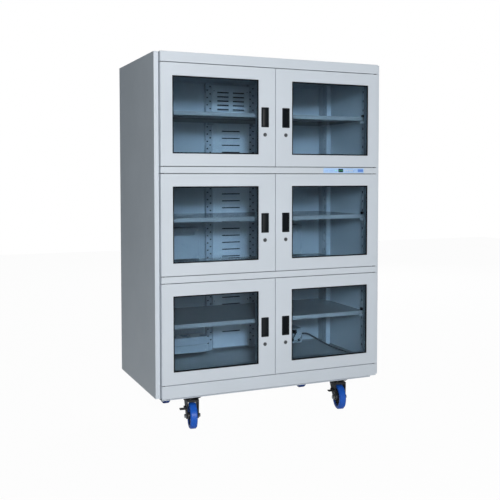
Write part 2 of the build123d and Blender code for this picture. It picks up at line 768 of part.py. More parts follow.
with BuildPart() as caster_plates:
    for x, y, _ in casters.values():
        with BuildSketch(Plane.XY.offset(plate_top)):
            with Locations((x, y)):
                RectangleRounded(plate_w, plate_l, plate_corner_r)
        extrude(amount=-plate_t)
        with BuildSketch(Plane.XY.offset(race_top)):
            with Locations((x, y)):
                with GridLocations(plate_bolt_x, plate_bolt_y, 2, 2):
                    RegularPolygon(bolt_head_d / 2, 6)
        extrude(amount=-bolt_head_h)
        with BuildSketch(Plane.XY.offset(race_top)):
            with Locations((x, y)):
                Circle(race_d / 2)
        extrude(amount=-race_h)
        with BuildSketch(Plane.XY.offset(race_top - race_h)):
            with Locations((x, y)):
                Circle(king_d / 2)
        extrude(amount=-(crown_t + 2 * face_gap))
        with BuildSketch(Plane.XY.offset(crown_foot - face_gap)):
            with Locations((x, y)):
                Circle(king_head_d / 2)
        extrude(amount=-king_head_h)
save(caster_plates.part, "caster_plates")

for place, (x, y, turn) in casters.items():
    ground = swivel_frame(x, y, turn)
    braked = place.startswith("front")
    save(caster_wheel(ground), f"{place}_wheel")
    save(caster_fork(ground, braked), f"{place}_fork")
    if braked:
        save(brake_pedal(ground), f"{place}_pedal")
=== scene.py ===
"""Dresses the desiccator cabinet: trim, seals, fittings, finishes and a studio.

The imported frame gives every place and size, so each new piece is built from
the corners of the part that carries it.  Lengths are metres.
"""

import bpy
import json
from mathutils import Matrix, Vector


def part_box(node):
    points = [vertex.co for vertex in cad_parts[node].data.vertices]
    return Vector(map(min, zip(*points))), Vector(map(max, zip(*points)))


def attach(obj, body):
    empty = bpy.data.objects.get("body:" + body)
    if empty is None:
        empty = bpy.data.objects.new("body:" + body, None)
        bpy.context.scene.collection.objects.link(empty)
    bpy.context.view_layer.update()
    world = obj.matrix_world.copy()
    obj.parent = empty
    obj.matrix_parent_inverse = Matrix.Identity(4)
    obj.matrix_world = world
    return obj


bl_info = {
    "name": "Desiccator Cabinet Dressing",
    "version": (1, 0, 0),
    "blender": (4, 5, 0),
    "location": "View3D > Sidebar > Cabinet",
    "description": "Adds trim, fittings and finishes to a glazed dry storage cabinet",
    "category": "Object",
}

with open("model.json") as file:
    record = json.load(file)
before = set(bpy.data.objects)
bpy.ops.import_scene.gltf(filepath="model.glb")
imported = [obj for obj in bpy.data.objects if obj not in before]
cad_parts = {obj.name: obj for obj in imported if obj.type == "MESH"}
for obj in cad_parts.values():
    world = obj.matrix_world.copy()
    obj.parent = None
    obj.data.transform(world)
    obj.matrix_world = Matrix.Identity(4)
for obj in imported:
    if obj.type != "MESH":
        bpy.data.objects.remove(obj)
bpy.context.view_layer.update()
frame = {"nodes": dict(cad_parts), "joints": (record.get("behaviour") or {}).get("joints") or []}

import json
import math
from collections import namedtuple

import bmesh
import bpy
from bpy.props import FloatProperty, FloatVectorProperty, IntProperty, PointerProperty
from mathutils import Matrix, Vector

NODES = frame["nodes"]
MM = 0.001
ROWS = ("upper", "middle", "lower")
SIDES = {"left": -1, "right": 1}
SHELVES = tuple(name for name in sorted(NODES) if name.startswith("shelf_") and name[-1].isdigit())
CASTERS = tuple(name[:-5] for name in sorted(NODES) if name.endswith("_fork"))
REBATE = 10 * MM              # the bead is this much wider than the window
WINDOW_LIP = 6 * MM           # door sheet in front of the glass
GASKET_GAP = 0.1 * MM         # gasket in front of the glass
LOUVRE_LIP = 5 * MM           # lips under the louvres, in front of the duct
UNIT_MIDDLE = 310 * MM        # middle of an upper drying unit, from the middle plane
BOX_MIDDLE = 288 * MM         # middle of a connection box
BOX_SIDE = 410 * MM           # outer side of a connection box
PLUG_X = 362 * MM             # plug on the right connection box
TREAD_CORE = 46.5 * MM        # radius where the core of a wheel meets its tread
FRAME_JOINTS = {joint["name"]: joint for joint in frame["joints"]}
CHAMBER_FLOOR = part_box("shelf_uprights")[0].z
CHAMBER_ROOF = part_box("shelf_uprights")[1].z
CHAMBER_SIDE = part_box("shelf_uprights")[1].x
CHAMBER_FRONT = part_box("front_frame")[0].y
BACK_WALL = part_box("vent_duct")[1].y


# --- properties
def length(name, description, default):
    return FloatProperty(name=name, description=description, default=default,
                         min=0.0, subtype="DISTANCE", unit="LENGTH")


def colour(name, description, default):
    return FloatVectorProperty(name=name, description=description, default=default,
                               subtype="COLOR", size=3, min=0.0, max=1.0)


class CabinetFinish(bpy.types.PropertyGroup):
    """Colours of the cabinet's finishes, as linear values."""
    paint: colour("Paint", "Light grey powder coat of the carcass and doors", (0.575, 0.632, 0.70))
    # Enamel: the chamber's coat, darker than the paint as painted shade inside the chamber
    enamel: colour("Enamel", "Inner walls, uprights and drying units", (0.38, 0.435, 0.475))
    duct: colour("Duct enamel", "Cover of the vent duct", (0.56, 0.62, 0.67))
    gloss: colour("Gloss enamel", "Shelves and chamber floor", (0.24, 0.265, 0.275))
    glass: colour("Glass tint", "Tinted window glass", (0.60, 0.70, 0.785))
    rubber: colour("Rubber", "Gaskets, beads and seals", (0.005, 0.006, 0.008))
    black: colour("Black steel", "Caster plates, forks and pedals", (0.012, 0.013, 0.015))
    tread: colour("Wheel tread", "Elastic blue tread of the wheels", (0.010, 0.105, 0.55))
    label: colour("Label", "Film on the control strip", (0.40, 0.60, 0.92))


class CabinetTrim(bpy.types.PropertyGroup):
    """Sizes of the trim that is added to the frame."""
    gasket: length("Gasket width", "Rubber line round each window", 6.0 * MM)
    gasket_proud: length("Gasket depth", "Rubber in front of the glass", 5.0 * MM)
    seal: length("Seal width", "Bulb seal on the back of each door", 5.0 * MM)
    seal_inset: length("Seal inset", "Seal to the edge of the door", 6.0 * MM)
    seal_depth: length("Seal depth", "Seal behind the door", 2.7 * MM)
    label_width: length("Label width", "Film on the control strip", 235 * MM)
    label_inset: length("Label inset", "Film to the right end of the strip", 80.5 * MM)
    screw: length("Screw head", "Diameter of the pan heads", 7.0 * MM)
    wheel_ribs: IntProperty(name="Wheel ribs", description="Ribs on each side of a wheel",
                            default=12, min=3, max=48)


class CabinetStudio(bpy.types.PropertyGroup):
    """Lights and camera of the studio."""
    key: FloatProperty(name="Key light", description="Power of the front light", default=345.0,
                       min=0.0, subtype="POWER")
    fill: FloatProperty(name="Fill light", description="Power of the side light", default=1.2,
                        min=0.0, subtype="POWER")
    back: FloatProperty(name="Back light", description="Power of the light behind",
                        default=150.0, min=0.0, subtype="POWER")
    ambient: FloatProperty(name="Ambient", description="Strength of the world", default=0.07,
                           min=0.0)
    camera_place: FloatVectorProperty(name="Camera", description="Place of the camera",
                                      default=(-1.6365, -3.8477, 1.2099), subtype="TRANSLATION")
    camera_tilt: FloatProperty(name="Tilt", description="Camera from straight down",
                               default=math.radians(87.26), subtype="ANGLE")
    camera_turn: FloatProperty(name="Turn", description="Camera about the vertical",
                               default=math.radians(-23.81), subtype="ANGLE")
    lens: FloatProperty(name="Lens", description="Focal length in millimetres", default=57.0)
    shift: FloatVectorProperty(name="Shift", description="Shift of the lens", size=2,
                               default=(-0.0187, -0.07))


# --- node groups
def new_group(name, inputs, outputs):
    """An empty shader group with named sockets: {name: (type, default)}."""
    group = bpy.data.node_groups.new(name, "ShaderNodeTree")
    for label, (kind, default) in inputs.items():
        socket = group.interface.new_socket(name=label, in_out="INPUT", socket_type=kind)
        socket.default_value = default
    for label, kind in outputs.items():
        group.interface.new_socket(name=label, in_out="OUTPUT", socket_type=kind)
    return group, group.nodes.new("NodeGroupInput"), group.nodes.new("NodeGroupOutput")


def noise(tree, vector, scale, detail=3.0, roughness=0.55):
    node = tree.nodes.new("ShaderNodeTexNoise")
    node.inputs["Detail"].default_value = detail
    node.inputs["Roughness"].default_value = roughness
    tree.links.new(vector, node.inputs["Vector"])
    if isinstance(scale, (int, float)):
        node.inputs["Scale"].default_value = scale
    else:
        tree.links.new(scale, node.inputs["Scale"])
    return node.outputs["Fac"]


def remap(tree, value, low, high, to_low=0.0, to_high=1.0):
    node = tree.nodes.new("ShaderNodeMapRange")
    node.inputs["From Min"].default_value = low
    node.inputs["From Max"].default_value = high
    for label, end in (("To Min", to_low), ("To Max", to_high)):
        if isinstance(end, (int, float)):
            node.inputs[label].default_value = end
        else:
            tree.links.new(end, node.inputs[label])
    tree.links.new(value, node.inputs["Value"])
    return node.outputs["Result"]


def maths(tree, operation, *values):
    """The value of a math node; each of its inputs is a socket or a number."""
    node = tree.nodes.new("ShaderNodeMath")
    node.operation = operation
    for socket, value in zip(node.inputs, values):
        if isinstance(value, bpy.types.NodeSocket):
            tree.links.new(value, socket)
        else:
            socket.default_value = value
    return node.outputs["Value"]


def blend_colour(tree, mask, first, second):
    node = tree.nodes.new("ShaderNodeMix")
    node.data_type = "RGBA"
    tree.links.new(mask, node.inputs["Factor"])
    for socket, value in ((node.inputs[6], first), (node.inputs[7], second)):
        if isinstance(value, bpy.types.NodeSocket):
            tree.links.new(value, socket)
        else:
            socket.default_value = (*value, 1.0)
    return node.outputs[2]


def make_sprayed_group():
    """Sprayed coats: a faint cloud in the colour, a satin roughness and orange peel."""
    group, given, out = new_group(
        "Sprayed coat",
        {"Colour": ("NodeSocketColor", (0.6, 0.6, 0.6, 1.0)),
         "Cloud": ("NodeSocketColor", (0.5, 0.5, 0.5, 1.0)),
         "Grain": ("NodeSocketFloat", 900.0), "Smooth": ("NodeSocketFloat", 0.30),
         "Dull": ("NodeSocketFloat", 0.45)},
        {"Colour": "NodeSocketColor", "Roughness": "NodeSocketFloat", "Height": "NodeSocketFloat"})
    place = group.nodes.new("ShaderNodeTexCoord").outputs["Object"]
    clouds = remap(group, noise(group, place, 2.6, 4.0), 0.38, 0.66)
    group.links.new(blend_colour(group, clouds, given.outputs["Colour"], given.outputs["Cloud"]),
                    out.inputs["Colour"])
    hands = noise(group, place, 7.0, 5.0, 0.65)
    group.links.new(remap(group, hands, 0.35, 0.68, given.outputs["Smooth"], given.outputs["Dull"]),
                    out.inputs["Roughness"])
    group.links.new(noise(group, place, given.outputs["Grain"], 2.0), out.inputs["Height"])
    return group


def make_chamber_shade_group():
    """One inside the chamber, on its walls, floor and roof, where the painted shade of the chamber
    goes, and nought outside.
    """
    group, _, out = new_group("Chamber shade mask", {}, {"Mask": "NodeSocketFloat"})
    axes = group.nodes.new("ShaderNodeSeparateXYZ")
    group.links.new(group.nodes.new("ShaderNodeTexCoord").outputs["Object"], axes.inputs["Vector"])
    margin = 0.5 * MM
    within = []
    for axis, low, high in (("X", -CHAMBER_SIDE, CHAMBER_SIDE), ("Y", CHAMBER_FRONT, BACK_WALL),
                            ("Z", CHAMBER_FLOOR, CHAMBER_ROOF)):
        within.append(maths(group, "COMPARE", axes.outputs[axis], (low + high) / 2,
                            (high - low) / 2 + margin))
    mask = maths(group, "MULTIPLY", maths(group, "MULTIPLY", within[0], within[1]), within[2])
    group.links.new(mask, out.inputs["Mask"])
    return group


def make_brushed_group():
    """Brushed sheet: long fine lines across X, and a soft smear in the roughness."""
    group, given, out = new_group(
        "Brushed sheet",
        {"Colour": ("NodeSocketColor", (0.6, 0.6, 0.6, 1.0)),
         "Dark": ("NodeSocketColor", (0.5, 0.5, 0.5, 1.0)),
         "Smooth": ("NodeSocketFloat", 0.16), "Dull": ("NodeSocketFloat", 0.30)},
        {"Colour": "NodeSocketColor", "Roughness": "NodeSocketFloat", "Height": "NodeSocketFloat"})
    place = group.nodes.new("ShaderNodeTexCoord").outputs["Object"]
    stretch = group.nodes.new("ShaderNodeMapping")
    stretch.inputs["Scale"].default_value = (6.0, 900.0, 900.0)
    group.links.new(place, stretch.inputs["Vector"])
    lines = noise(group, stretch.outputs["Vector"], 1.0, 2.0)
    group.links.new(blend_colour(group, remap(group, lines, 0.3, 0.7), given.outputs["Colour"],
                                 given.outputs["Dark"]), out.inputs["Colour"])
    smear = noise(group, place, 5.0, 4.0, 0.6)
    group.links.new(remap(group, smear, 0.35, 0.65, given.outputs["Smooth"], given.outputs["Dull"]),
                    out.inputs["Roughness"])
    group.links.new(lines, out.inputs["Height"])
    return group


# --- materials
def shade(rgb, factor):
    return tuple(min(1.0, value * factor) for value in rgb)


def new_material(name):
    material = bpy.data.materials.new(name)
    material.use_nodes = True
    shader = material.node_tree.nodes["Principled BSDF"]
    return material, material.node_tree, shader


def add_effect(tree, shader, group, values, bump, bump_distance):
    """Places an effect group and feeds colour, roughness and normal from it."""
    node = tree.nodes.new("ShaderNodeGroup")
    node.node_tree = group
    for label, value in values.items():
        node.inputs[label].default_value = (*value, 1.0) if isinstance(value, tuple) else value
    tree.links.new(node.outputs["Colour"], shader.inputs["Base Color"])
    tree.links.new(node.outputs["Roughness"], shader.inputs["Roughness"])
    relief = tree.nodes.new("ShaderNodeBump")
    relief.inputs["Strength"].default_value = bump
    relief.inputs["Distance"].default_value = bump_distance
    tree.links.new(node.outputs["Height"], relief.inputs["Height"])
    tree.links.new(relief.outputs["Normal"], shader.inputs["Normal"])
    return node


def sprayed(name, group, rgb, grain=900.0, smooth=0.30, dull=0.45, metallic=0.0, bump=0.12,
            cloud=0.965, specular=0.5):
    material, tree, shader = new_material(name)
    add_effect(tree, shader, group, {"Colour": rgb, "Cloud": shade(rgb, cloud), "Grain": grain,
                                     "Smooth": smooth, "Dull": dull}, bump, 0.2 * MM)
    shader.inputs["Metallic"].default_value = metallic
    shader.inputs["Specular IOR Level"].default_value = specular
    return material


def brushed(name, group, rgb, smooth=0.16, dull=0.30, metallic=1.0):
    material, tree, shader = new_material(name)
    add_effect(tree, shader, group, {"Colour": rgb, "Dark": shade(rgb, 0.86), "Smooth": smooth,
                                     "Dull": dull}, 0.05, 0.05 * MM)
    shader.inputs["Metallic"].default_value = metallic
    return material


def carcass_paint(name, group, chamber, outer, shaded_inner):
    """The outer coat, with the chamber's enamel, darkened as painted shade, on the faces inside."""
    material, tree, shader = new_material(name)
    coats = add_effect(tree, shader, group, {"Colour": outer, "Cloud": shade(outer, 0.965),
                                             "Grain": 700.0, "Smooth": 0.36, "Dull": 0.50},
                       0.12, 0.2 * MM)
    place = tree.nodes.new("ShaderNodeGroup")
    place.node_tree = chamber
    # Faces inside the chamber take the darker enamel: painted shade
    tree.links.new(blend_colour(tree, place.outputs["Mask"], coats.outputs["Colour"], shaded_inner),
                   shader.inputs["Base Color"])
    return material


def tinted_glass(name, rgb):
    """Clear tinted pane that lets straight light through to the chamber."""
    material, tree, shader = new_material(name)
    shader.inputs["Transmission Weight"].default_value = 1.0
    shader.inputs["IOR"].default_value = 1.2
    haze = noise(tree, tree.nodes.new("ShaderNodeTexCoord").outputs["Object"], 3.0, 4.0)
    tree.links.new(blend_colour(tree, remap(tree, haze, 0.4, 0.7), rgb, shade(rgb, 0.97)),
                   shader.inputs["Base Color"])
    shader.inputs["Roughness"].default_value = 0.0
    clear = tree.nodes.new("ShaderNodeBsdfTransparent")
    clear.inputs["Color"].default_value = (*rgb, 1.0)
    mix = tree.nodes.new("ShaderNodeMixShader")
    path = tree.nodes.new("ShaderNodeLightPath")
    tree.links.new(path.outputs["Is Shadow Ray"], mix.inputs["Fac"])
    tree.links.new(shader.outputs["BSDF"], mix.inputs[1])
    tree.links.new(clear.outputs["BSDF"], mix.inputs[2])
    tree.links.new(mix.outputs["Shader"], tree.nodes["Material Output"].inputs["Surface"])
    return material


def display_light(name, rgb, strength):
    """Lit digits and lamps, a little uneven from end to end."""
    material, tree, shader = new_material(name)
    place = tree.nodes.new("ShaderNodeTexCoord").outputs["Object"]
    glow = remap(tree, noise(tree, place, 400.0, 2.0), 0.3, 0.7)
    uneven = blend_colour(tree, glow, rgb, shade(rgb, 0.8))
    tree.links.new(uneven, shader.inputs["Base Color"])
    tree.links.new(uneven, shader.inputs["Emission Color"])
    shader.inputs["Emission Strength"].default_value = strength
    return material


def wheel_material(name, group, hub, axis, finish):
    """Blue tread outside, dark core inside, told apart by the distance from the axle."""
    material, tree, shader = new_material(name)
    place = tree.nodes.new("ShaderNodeTexCoord").outputs["Object"]
    centre = tree.nodes.new("ShaderNodeMapping")
    centre.vector_type = "TEXTURE"
    centre.inputs["Location"].default_value = hub
    centre.inputs["Rotation"].default_value = (0.0, 0.0, math.atan2(axis.y, axis.x))
    flatten = tree.nodes.new("ShaderNodeVectorMath")
    flatten.operation = "MULTIPLY"
    flatten.inputs[1].default_value = (0.0, 1.0, 1.0)
    radius = tree.nodes.new("ShaderNodeVectorMath")
    radius.operation = "LENGTH"
    tree.links.new(place, centre.inputs["Vector"])
    tree.links.new(centre.outputs["Vector"], flatten.inputs[0])
    tree.links.new(flatten.outputs["Vector"], radius.inputs[0])
    effect = add_effect(tree, shader, group,
                        {"Colour": tuple(finish.tread), "Cloud": shade(finish.tread, 0.8),
                         "Grain": 300.0, "Smooth": 0.26, "Dull": 0.42}, 0.1, 0.2 * MM)
    outside = remap(tree, radius.outputs["Value"], TREAD_CORE - 0.1 * MM, TREAD_CORE + 0.1 * MM)
    tree.links.new(blend_colour(tree, outside, (0.020, 0.022, 0.026), effect.outputs["Colour"]),
                   shader.inputs["Base Color"])
    return material


MATERIALS = {}
Way = namedtuple("Way", "index sign")


# --- mesh helpers
def block(bm, low, high, round_edge=0.0, segments=2):
    """A box between two corners, with rounded edges."""
    low, high = Vector(low), Vector(high)
    place = Matrix.Translation((low + high) / 2) @ Matrix.Diagonal((*(high - low), 1.0))
    made = bmesh.ops.create_cube(bm, size=1.0, matrix=place)["verts"]
    if round_edge:
        edges = list({edge for vert in made for edge in vert.link_edges})
        bmesh.ops.bevel(bm, geom=edges, offset=round_edge, segments=segments, affect="EDGES",
                        profile=0.5, material=-1, clamp_overlap=True)


def ring(bm, middle, size, band, depth, round_edge):
    """A rectangular frame facing -Y: outer size, band width, from middle back by depth."""
    x, y, z = middle
    half_w, half_h = size[0] / 2, size[1] / 2
    corners = [bm.verts.new((x + sx * half_w, y, z + sz * half_h))
               for sx, sz in ((-1, -1), (1, -1), (1, 1), (-1, 1))]
    face = bm.faces.new(corners)
    bm.normal_update()
    bmesh.ops.inset_region(bm, faces=[face], thickness=band, use_boundary=True,
                           use_even_offset=True)
    bmesh.ops.delete(bm, geom=[face], context="FACES_ONLY")
    flat = [f for f in bm.faces if any(v in corners for v in f.verts)]
    moved = bmesh.ops.extrude_face_region(bm, geom=flat, use_keep_orig=True)["geom"]
    bmesh.ops.translate(bm, vec=(0.0, depth, 0.0),
                        verts=[item for item in moved if isinstance(item, bmesh.types.BMVert)])
    bmesh.ops.recalc_face_normals(bm, faces=bm.faces)
    if round_edge:
        edges = [e for e in bm.edges if e.calc_face_angle(0.0) > 0.5]
        bmesh.ops.bevel(bm, geom=edges, offset=round_edge, segments=2, affect="EDGES",
                        profile=0.5, material=-1, clamp_overlap=True)


def turned(bm, profile, centre, axis, steps=32):
    """Spins (distance along the axis, radius) points into a closed turned shape."""
    axis = Vector(axis).normalized()
    side = axis.orthogonal().normalized()
    verts = [bm.verts.new(Vector(centre) + axis * along + side * radius)
             for along, radius in profile]
    edges = [bm.edges.new(pair) for pair in zip(verts, verts[1:])]
    if profile[0][1] > 0.0 and profile[-1][1] > 0.0:
        edges.append(bm.edges.new((verts[-1], verts[0])))
    bmesh.ops.spin(bm, geom=verts + edges, cent=centre, axis=axis, angle=math.tau,
                   steps=steps, use_merge=True, use_duplicate=False)
    bmesh.ops.remove_doubles(bm, verts=bm.verts, dist=1e-6)


def in_mm(*points):
    """Points given in millimetres, as metres."""
    return [tuple(value * MM for value in point) for point in points]


def rim_grid(low, high, inset, columns, lines):
    """Even places (x, z) along the four edges of a panel, an inset from them."""
    for i in range(columns):
        for j in range(lines):
            if 0 < i < columns - 1 and 0 < j < lines - 1:
                continue
            yield (low.x + inset + (high.x - low.x - 2 * inset) * i / (columns - 1),
                   low.z + inset + (high.z - low.z - 2 * inset) * j / (lines - 1))


def pan_head(bm, centre, outward, diameter, steps=12):
    """A low domed screw head with a sunk drive, seated on a face."""
    radius, rise = diameter / 2, 0.3 * diameter
    turned(bm, [(-0.2 * rise, 0.0), (-0.2 * rise, radius), (0.35 * rise, radius),
                (0.85 * rise, 0.75 * radius), (rise, 0.42 * radius), (0.45 * rise, 0.30 * radius),
                (0.45 * rise, 0.0)], centre, outward, steps)


def finish_piece(name, bm, finish, body, smooth_angle=35.0):
    """Writes the mesh, gives it its finish and lets it ride on a body."""
    bmesh.ops.recalc_face_normals(bm, faces=bm.faces)
    mesh = bpy.data.meshes.new(name)
    bm.to_mesh(mesh)
    bm.free()
    mesh.shade_smooth()
    mesh.set_sharp_from_angle(angle=math.radians(smooth_angle))
    piece = bpy.data.objects.new(name, mesh)
    bpy.context.scene.collection.objects.link(piece)
    mesh.materials.append(MATERIALS[finish])
    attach(piece, body)
    return piece


def doors():
    """Every door as (name, side sign, lowest corner, highest corner)."""
    for row in ROWS:
        for side, sign in SIDES.items():
            name = f"{row}_{side}"
            low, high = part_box(f"{name}_door")
            yield name, sign, low, high


def window_of(name):
    """Middle and size of a door's window, from its bead."""
    low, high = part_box(f"{name}_bead")
    middle = (low + high) / 2
    return middle, (high.x - low.x - 2 * REBATE, high.z - low.z - 2 * REBATE)


def recess_floors(name, smallest, largest):
    """Small flat rectangles of a node that face -Y or sideways: (axis, low, high)."""
    bm = bmesh.new()
    bm.from_mesh(NODES[name].data)
    bmesh.ops.remove_doubles(bm, verts=bm.verts, dist=1e-6)
    bm.normal_update()
    seen = set()
    for face in bm.faces:
        if face in seen:
            continue
        patch, waiting = [], [face]
        seen.add(face)
        while waiting:
            here = waiting.pop()
            patch.append(here)
            for edge in here.edges:
                for other in edge.link_faces:
                    if other not in seen and other.normal.dot(face.normal) > 0.999:
                        seen.add(other)
                        waiting.append(other)
        places = [vert.co for item in patch for vert in item.verts]
        low = Vector([min(place[i] for place in places) for i in range(3)])
        high = Vector([max(place[i] for place in places) for i in range(3)])
        spans = sorted(high - low)
        if smallest < spans[1] and spans[2] < largest and abs(face.normal.z) < 0.1:
            index = 0 if abs(face.normal.x) > 0.5 else 1
            yield Way(index, math.copysign(1.0, face.normal[index])), low, high
    bm.free()


class CabinetOperator:
    """Shared settings of the cabinet's operators."""
    bl_options = {"REGISTER"}


# --- finishes
class CABINET_OT_finishes(CabinetOperator, bpy.types.Operator):
    """Makes the materials and gives each part of the frame its own"""
    bl_idname = "cabinet.finishes"
    bl_label = "Finishes"

    def execute(self, context):
        finish = context.scene.cabinet_finish
        coat, sheet, chamber = make_sprayed_group(), make_brushed_group(), make_chamber_shade_group()
        black, rubber = tuple(finish.black), tuple(finish.rubber)
        MATERIALS.update(
            paint=sprayed("Powder coat", coat, tuple(finish.paint), 700.0, 0.36, 0.50),
            carcass=carcass_paint("Carcass coat", coat, chamber, tuple(finish.paint),
                                  tuple(finish.enamel)),
            duct=sprayed("Duct enamel", coat, tuple(finish.duct), 900.0, 0.22, 0.34),
            # Chamber enamel: darker than the paint, as painted shade inside the chamber
            enamel=sprayed("Chamber enamel with painted shade", coat, tuple(finish.enamel), 900.0, 0.22, 0.34),
            gloss=sprayed("Gloss enamel", coat, tuple(finish.gloss), 900.0, 0.12, 0.20, 0.0, 0.03),
            # Near-black coat of the duct sheet and the slot caps: painted shade
            felt=sprayed("Filter felt", coat, (0.012, 0.013, 0.015), 1500.0, 0.80, 0.95, 0.0, 0.3,
                         0.7),
            glass=tinted_glass("Tinted glass", tuple(finish.glass)),
            rubber=sprayed("Black rubber", coat, rubber, 1500.0, 0.60, 0.75, 0.0, 0.2, 0.7,
                           specular=0.06),
            bead=sprayed("Bead steel", coat, (0.10, 0.118, 0.13), 900.0, 0.30, 0.42),
            pull=sprayed("Moulded black", coat, (0.010, 0.013, 0.016), 1200.0, 0.40, 0.50, 0.0,
                         0.04, 0.8, specular=0.12),
            black=sprayed("Black electrocoat", coat, black, 900.0, 0.34, 0.50, 0.0, 0.1, 0.7),
            zinc=brushed("Zinc plate", sheet, (0.62, 0.63, 0.62), 0.22, 0.38),
            nickel=brushed("Nickel plate", sheet, (0.14, 0.15, 0.165), 0.30, 0.42, 0.8),
            cable=sprayed("Cable jacket", coat, (0.055, 0.062, 0.068), 600.0, 0.42, 0.60, 0.0,
                          0.1, 0.8),
            label=sprayed("Label film", coat, tuple(finish.label), 500.0, 0.24, 0.34, 0.0, 0.03,
                          0.97),
            label_edge=sprayed("Label band", coat, (0.13, 0.27, 0.72), 500.0, 0.24, 0.34, 0.0,
                               0.03, 0.95),
            screen=sprayed("Display window", coat, (0.006, 0.008, 0.010), 300.0, 0.06, 0.12, 0.0,
                           0.01, 0.8),
            digits=display_light("Display digits", (0.10, 0.55, 0.30), 0.10),
            lamp=display_light("Status lamp", (0.15, 0.85, 0.25), 1.2),
        )
        suffixes = {"_door": "paint", "_glass": "glass", "_bead": "bead", "_pull": "pull",
                    "_lock": "nickel", "_fork": "black", "_pedal": "black"}
        named = {"front_frame": "enamel", "shelf_uprights": "enamel", "vent_duct": "duct",
                 "drying_units": "enamel", "lead": "cable", "caster_plates": "black"}
        named.update({shelf: "gloss" for shelf in SHELVES})
        named.update({panel: "carcass" for panel in ("side_panel_left", "side_panel_right",
                                                     "back_panel", "roof_panel", "floor_pan")})
        for caster in CASTERS:
            joint = FRAME_JOINTS[f"{caster}_wheel_roll"]
            MATERIALS[f"{caster}_wheel"] = wheel_material(
                f"Wheel {caster}", coat, Vector(joint["pos_m"]), Vector(joint["axis"]), finish)
            named[f"{caster}_wheel"] = f"{caster}_wheel"
        for name, node in NODES.items():
            key = named.get(name) or next(
                (value for ending, value in suffixes.items() if name.endswith(ending)), "paint")
            node.data.materials.clear()
            node.data.materials.append(MATERIALS[key])
        return {"FINISHED"}


# --- windows
class CABINET_OT_window_gaskets(CabinetOperator, bpy.types.Operator):
    """Lays a rubber gasket round each window, in front of the glass"""
    bl_idname = "cabinet.window_gaskets"
    bl_label = "Window gaskets"

    def execute(self, context):
        trim = context.scene.cabinet_trim
        for name, _, low, _ in doors():
            middle, size = window_of(name)
            front = low.y + WINDOW_LIP - trim.gasket_proud - GASKET_GAP
            bm = bmesh.new()
            ring(bm, (middle.x, front, middle.z), size, trim.gasket, trim.gasket_proud,
                 0.3 * trim.gasket_proud)
            finish_piece(f"{name}_window_gasket", bm, "rubber", f"{name}_door_leaf")
        return {"FINISHED"}


class CABINET_OT_door_seals(CabinetOperator, bpy.types.Operator):
    """Runs a bulb seal round the back of each door"""
    bl_idname = "cabinet.door_seals"
    bl_label = "Door seals"

    def execute(self, context):
        trim = context.scene.cabinet_trim
        for name, _, low, high in doors():
            bm = bmesh.new()
            middle = ((low.x + high.x) / 2, high.y, (low.z + high.z) / 2)
            size = (high.x - low.x - 2 * trim.seal_inset, high.z - low.z - 2 * trim.seal_inset)
            ring(bm, middle, size, trim.seal, trim.seal_depth, 0.35 * trim.seal_depth)
            finish_piece(f"{name}_door_seal", bm, "rubber", f"{name}_door_leaf")
        return {"FINISHED"}


class CABINET_OT_bead_screws(CabinetOperator, bpy.types.Operator):
    """Screws each glazing bead to its door from the inside"""
    bl_idname = "cabinet.bead_screws"
    bl_label = "Bead screws"

    columns: IntProperty(name="Columns", description="Screws along the head", default=4, min=2)
    lines: IntProperty(name="Lines", description="Screws down each side", default=3, min=2)

    def execute(self, context):
        diameter = 0.8 * context.scene.cabinet_trim.screw
        for name, _, _, _ in doors():
            low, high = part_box(f"{name}_bead")
            edge = REBATE / 2 + 1 * MM
            bm = bmesh.new()
            for x, z in rim_grid(low, high, edge, self.columns, self.lines):
                pan_head(bm, (x, high.y, z), (0, 1, 0), diameter)
            finish_piece(f"{name}_bead_screws", bm, "zinc", f"{name}_door_leaf")
        return {"FINISHED"}


class CABINET_OT_lock_bezels(CabinetOperator, bpy.types.Operator):
    """Sets a turned bezel round each lock"""
    bl_idname = "cabinet.lock_bezels"
    bl_label = "Lock bezels"

    def execute(self, context):
        for name, _, door_low, _ in doors():
            low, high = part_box(f"{name}_lock")
            radius = (high.x - low.x) / 2
            centre = ((low.x + high.x) / 2, door_low.y, high.z - radius)
            bm = bmesh.new()
            turned(bm, [(-0.5 * MM, radius + 0.3 * MM), (0.7 * MM, radius + 0.3 * MM),
                        (1.0 * MM, radius + 0.5 * MM), (0.7 * MM, radius + 0.8 * MM),
                        (-0.5 * MM, radius + 0.9 * MM)], centre, (0, -1, 0), 40)
            finish_piece(f"{name}_lock_bezel", bm, "nickel", f"{name}_door_leaf")
        return {"FINISHED"}


# --- control strip
SEGMENTS = {"0": "abcdef", "2": "abged", "3": "abgcd", "5": "afgcd"}


def draw_digit(bm, digit, left, foot, y, width, height):
    """One seven-segment digit made of thin raised bars."""
    bar = 0.14 * height
    mid = height / 2
    places = {"a": ((0, height - bar), (width, height)), "d": ((0, 0), (width, bar)),
              "g": ((0, mid - bar / 2), (width, mid + bar / 2)), "f": ((0, mid), (bar, height)),
              "b": ((width - bar, mid), (width, height)), "e": ((0, 0), (bar, mid)),
              "c": ((width - bar, 0), (width, mid))}
    for name in SEGMENTS[digit]:
        (x0, z0), (x1, z1) = places[name]
        block(bm, (left + x0, y - 0.15 * MM, foot + z0), (left + x1, y, foot + z1), 0.05 * MM, 1)


